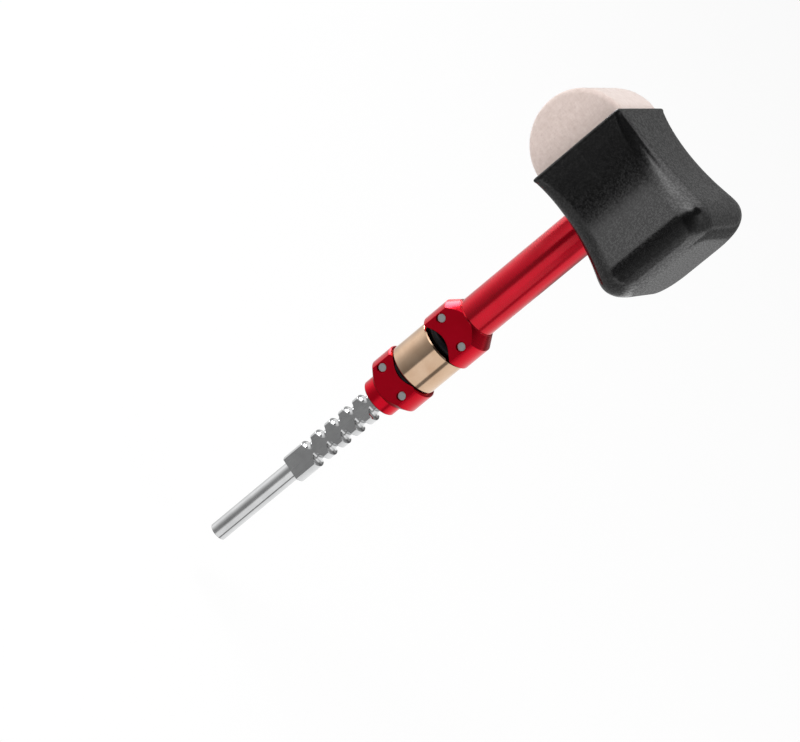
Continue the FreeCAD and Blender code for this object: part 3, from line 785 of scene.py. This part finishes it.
def wall_ramp(tree, share, stops):
    """A grey ramp round the studio."""
    made = add(tree, "ShaderNodeValToRGB", {"Fac": share})
    marks = made.color_ramp.elements
    for index, (angle, grey) in enumerate(stops):
        spot = (angle + 180) / 360
        mark = marks[index] if index < 2 else marks.new(spot)
        mark.position = spot
        mark.color = (grey, grey, grey, 1)
    return made.outputs[0]


def build_world():
    """White to the camera, an even light on dull surfaces, and graded walls for glossy ones to mirror."""
    world = bpy.data.worlds.new("studio")
    world.use_nodes = True
    tree = world.node_tree
    tree.nodes.clear()
    heading = add(tree, "ShaderNodeSeparateXYZ", {
        "Vector": add(tree, "ShaderNodeTexCoord").outputs["Generated"]})
    turn = math_node(tree, "ARCTAN2", heading.outputs["Y"], heading.outputs["X"])
    share = spread(tree, turn, -math.pi, math.pi, 0, 1)
    rise = heading.outputs["Z"]
    leaning = math_node(tree, "ADD", share, spread(tree, rise, *LEAN_RISES, 0, WALL_LEAN))
    lift = spread(tree, rise, *LIFT_RISES, *WALL_LIFT)
    low = wall_ramp(tree, share, LOW_STOPS)
    high = math_node(tree, "MULTIPLY", wall_ramp(tree, leaning, HIGH_STOPS), lift)
    walls = blend(tree, spread(tree, rise, *LEVEL_RISES, 0, 1), low, high)
    walls = blend(tree, spread(tree, rise, *UNDER_RISES, 0, 1), UNDER_GREY, walls)
    walls = blend(tree, spread(tree, rise, *OVER_RISES, 0, 1), walls, OVER_GREY)
    path = add(tree, "ShaderNodeLightPath")
    seen = math_node(tree, "MAXIMUM", path.outputs["Is Camera Ray"], path.outputs["Is Transmission Ray"])
    even = add(tree, "ShaderNodeBackground", {"Color": (1, 1, 1, 1), "Strength": AMBIENT})
    mirrored = add(tree, "ShaderNodeBackground", {"Color": (1, 1, 1, 1), "Strength": walls})
    white = add(tree, "ShaderNodeBackground", {"Color": (1, 1, 1, 1), "Strength": 1.0})
    lit = add(tree, "ShaderNodeMixShader", {0: path.outputs["Is Glossy Ray"], 1: even.outputs[0],
                                            2: mirrored.outputs[0]})
    shown = add(tree, "ShaderNodeMixShader", {0: seen, 1: lit.outputs[0], 2: white.outputs[0]})
    add(tree, "ShaderNodeOutputWorld", {"Surface": shown.outputs[0]})
    bpy.context.scene.world = world


# Cards: radius, degrees round from +X, heights, and greys at the two ends
CARDS = {
    "head_light": (0.3, (-178, -113.5), (0.085, 0.26), (0.0, 1.08)),
    "head_flag": (0.3, (-113.5, -84), (0.085, 0.26), (0.02, 0.14)),
    "edge_flag": (0.13, (-88, -38), (0.163, 0.26), (0.06, 0.2)),
    "edge_shade": (0.3, (-50, -4), (0.085, 0.25), (0.2, 0.5)),
    "edge_light": (0.3, (-4, 45), (0.085, 0.24), (1.1, 0.72)),
    "strike_light": (0.3, (45, 112), (0.06, 0.165), (0.58, 0.0)),
    "strike_flag": (0.3, (45, 112), (0.165, 0.26), (0.16, 0.08)),
    "cone_light": (0.3, (136, 172), (0.15, 0.26), (6.0, 12.0)),
}
# Lamps: direction by the camera's right, up and back, then distance, size, power, and if it shows in mirrors
LAMPS = {
    "key": ((0.1, 0.92, 0.42), 1.2, 0.9, 8.8, False),
    "fill": ((0.7, -0.6, 0.7), 1.4, 0.9, 7.2, False),
    "rim": ((-0.2, 0.82, -0.48), 1.3, 0.4, 4, True),
}


# The whole scene

head = build_head()
felt = build_felt()
fibres = build_fibres()
thread = build_thread()
bead = build_bead()

blackened = plain_metal("blackened_steel_look", (0.035, 0.035, 0.038), (0.06, 0.06, 0.065), 0.38)
wool = wool_felt()
rubber = moulded("head_rubber_look", (0.003, 0.003, 0.0032), (0.0045, 0.0045, 0.0047), 0.19, 0.85, 1300,
                 0.014 * MM, fleck=1.0)
red_tube = red_anodised("red_tube_look", False, 0.4)
dress([
    (("lower_hub", "upper_hub"), red_anodised("red_hub_look", True, 0.12)),
    (("beater_tube",), red_tube),
    (("lock_sleeve",), bronze()),
    (("drive_shaft",), satin_chrome()),
    (("lower_hub_pins", "upper_hub_pins", "head_pin"),
     plain_metal("pin_steel_look", (0.56, 0.575, 0.58), (0.70, 0.715, 0.72), 0.42)),
    (("socket_core", "key_spigot"), blackened),
    (("lower_seal_ring", "upper_seal_ring"),
     moulded("seal_rubber_look", (0.004, 0.004, 0.005), (0.006, 0.006, 0.007), 0.36, 0.15, 1800, 0.01 * MM)),
    (("head_core",),
     moulded("nylon_look", (0.045, 0.045, 0.045), (0.065, 0.065, 0.065), 0.5, 0.5, 900, 0.02 * MM)),
    (("head_shell",), rubber),
    (("felt_pad",), wool),
])
head.data.materials.append(rubber)
felt.data.materials.append(wool)
fibres.data.materials.append(wool)
thread.data.materials.append(blackened)
bead.data.materials.append(red_tube)

build_camera()
build_floor()
build_world()
for name, settings in CARDS.items():
    card(name, *settings)
for name, settings in LAMPS.items():
    softbox(name, *settings)

bpy.context.scene.view_settings.view_transform = "Standard"
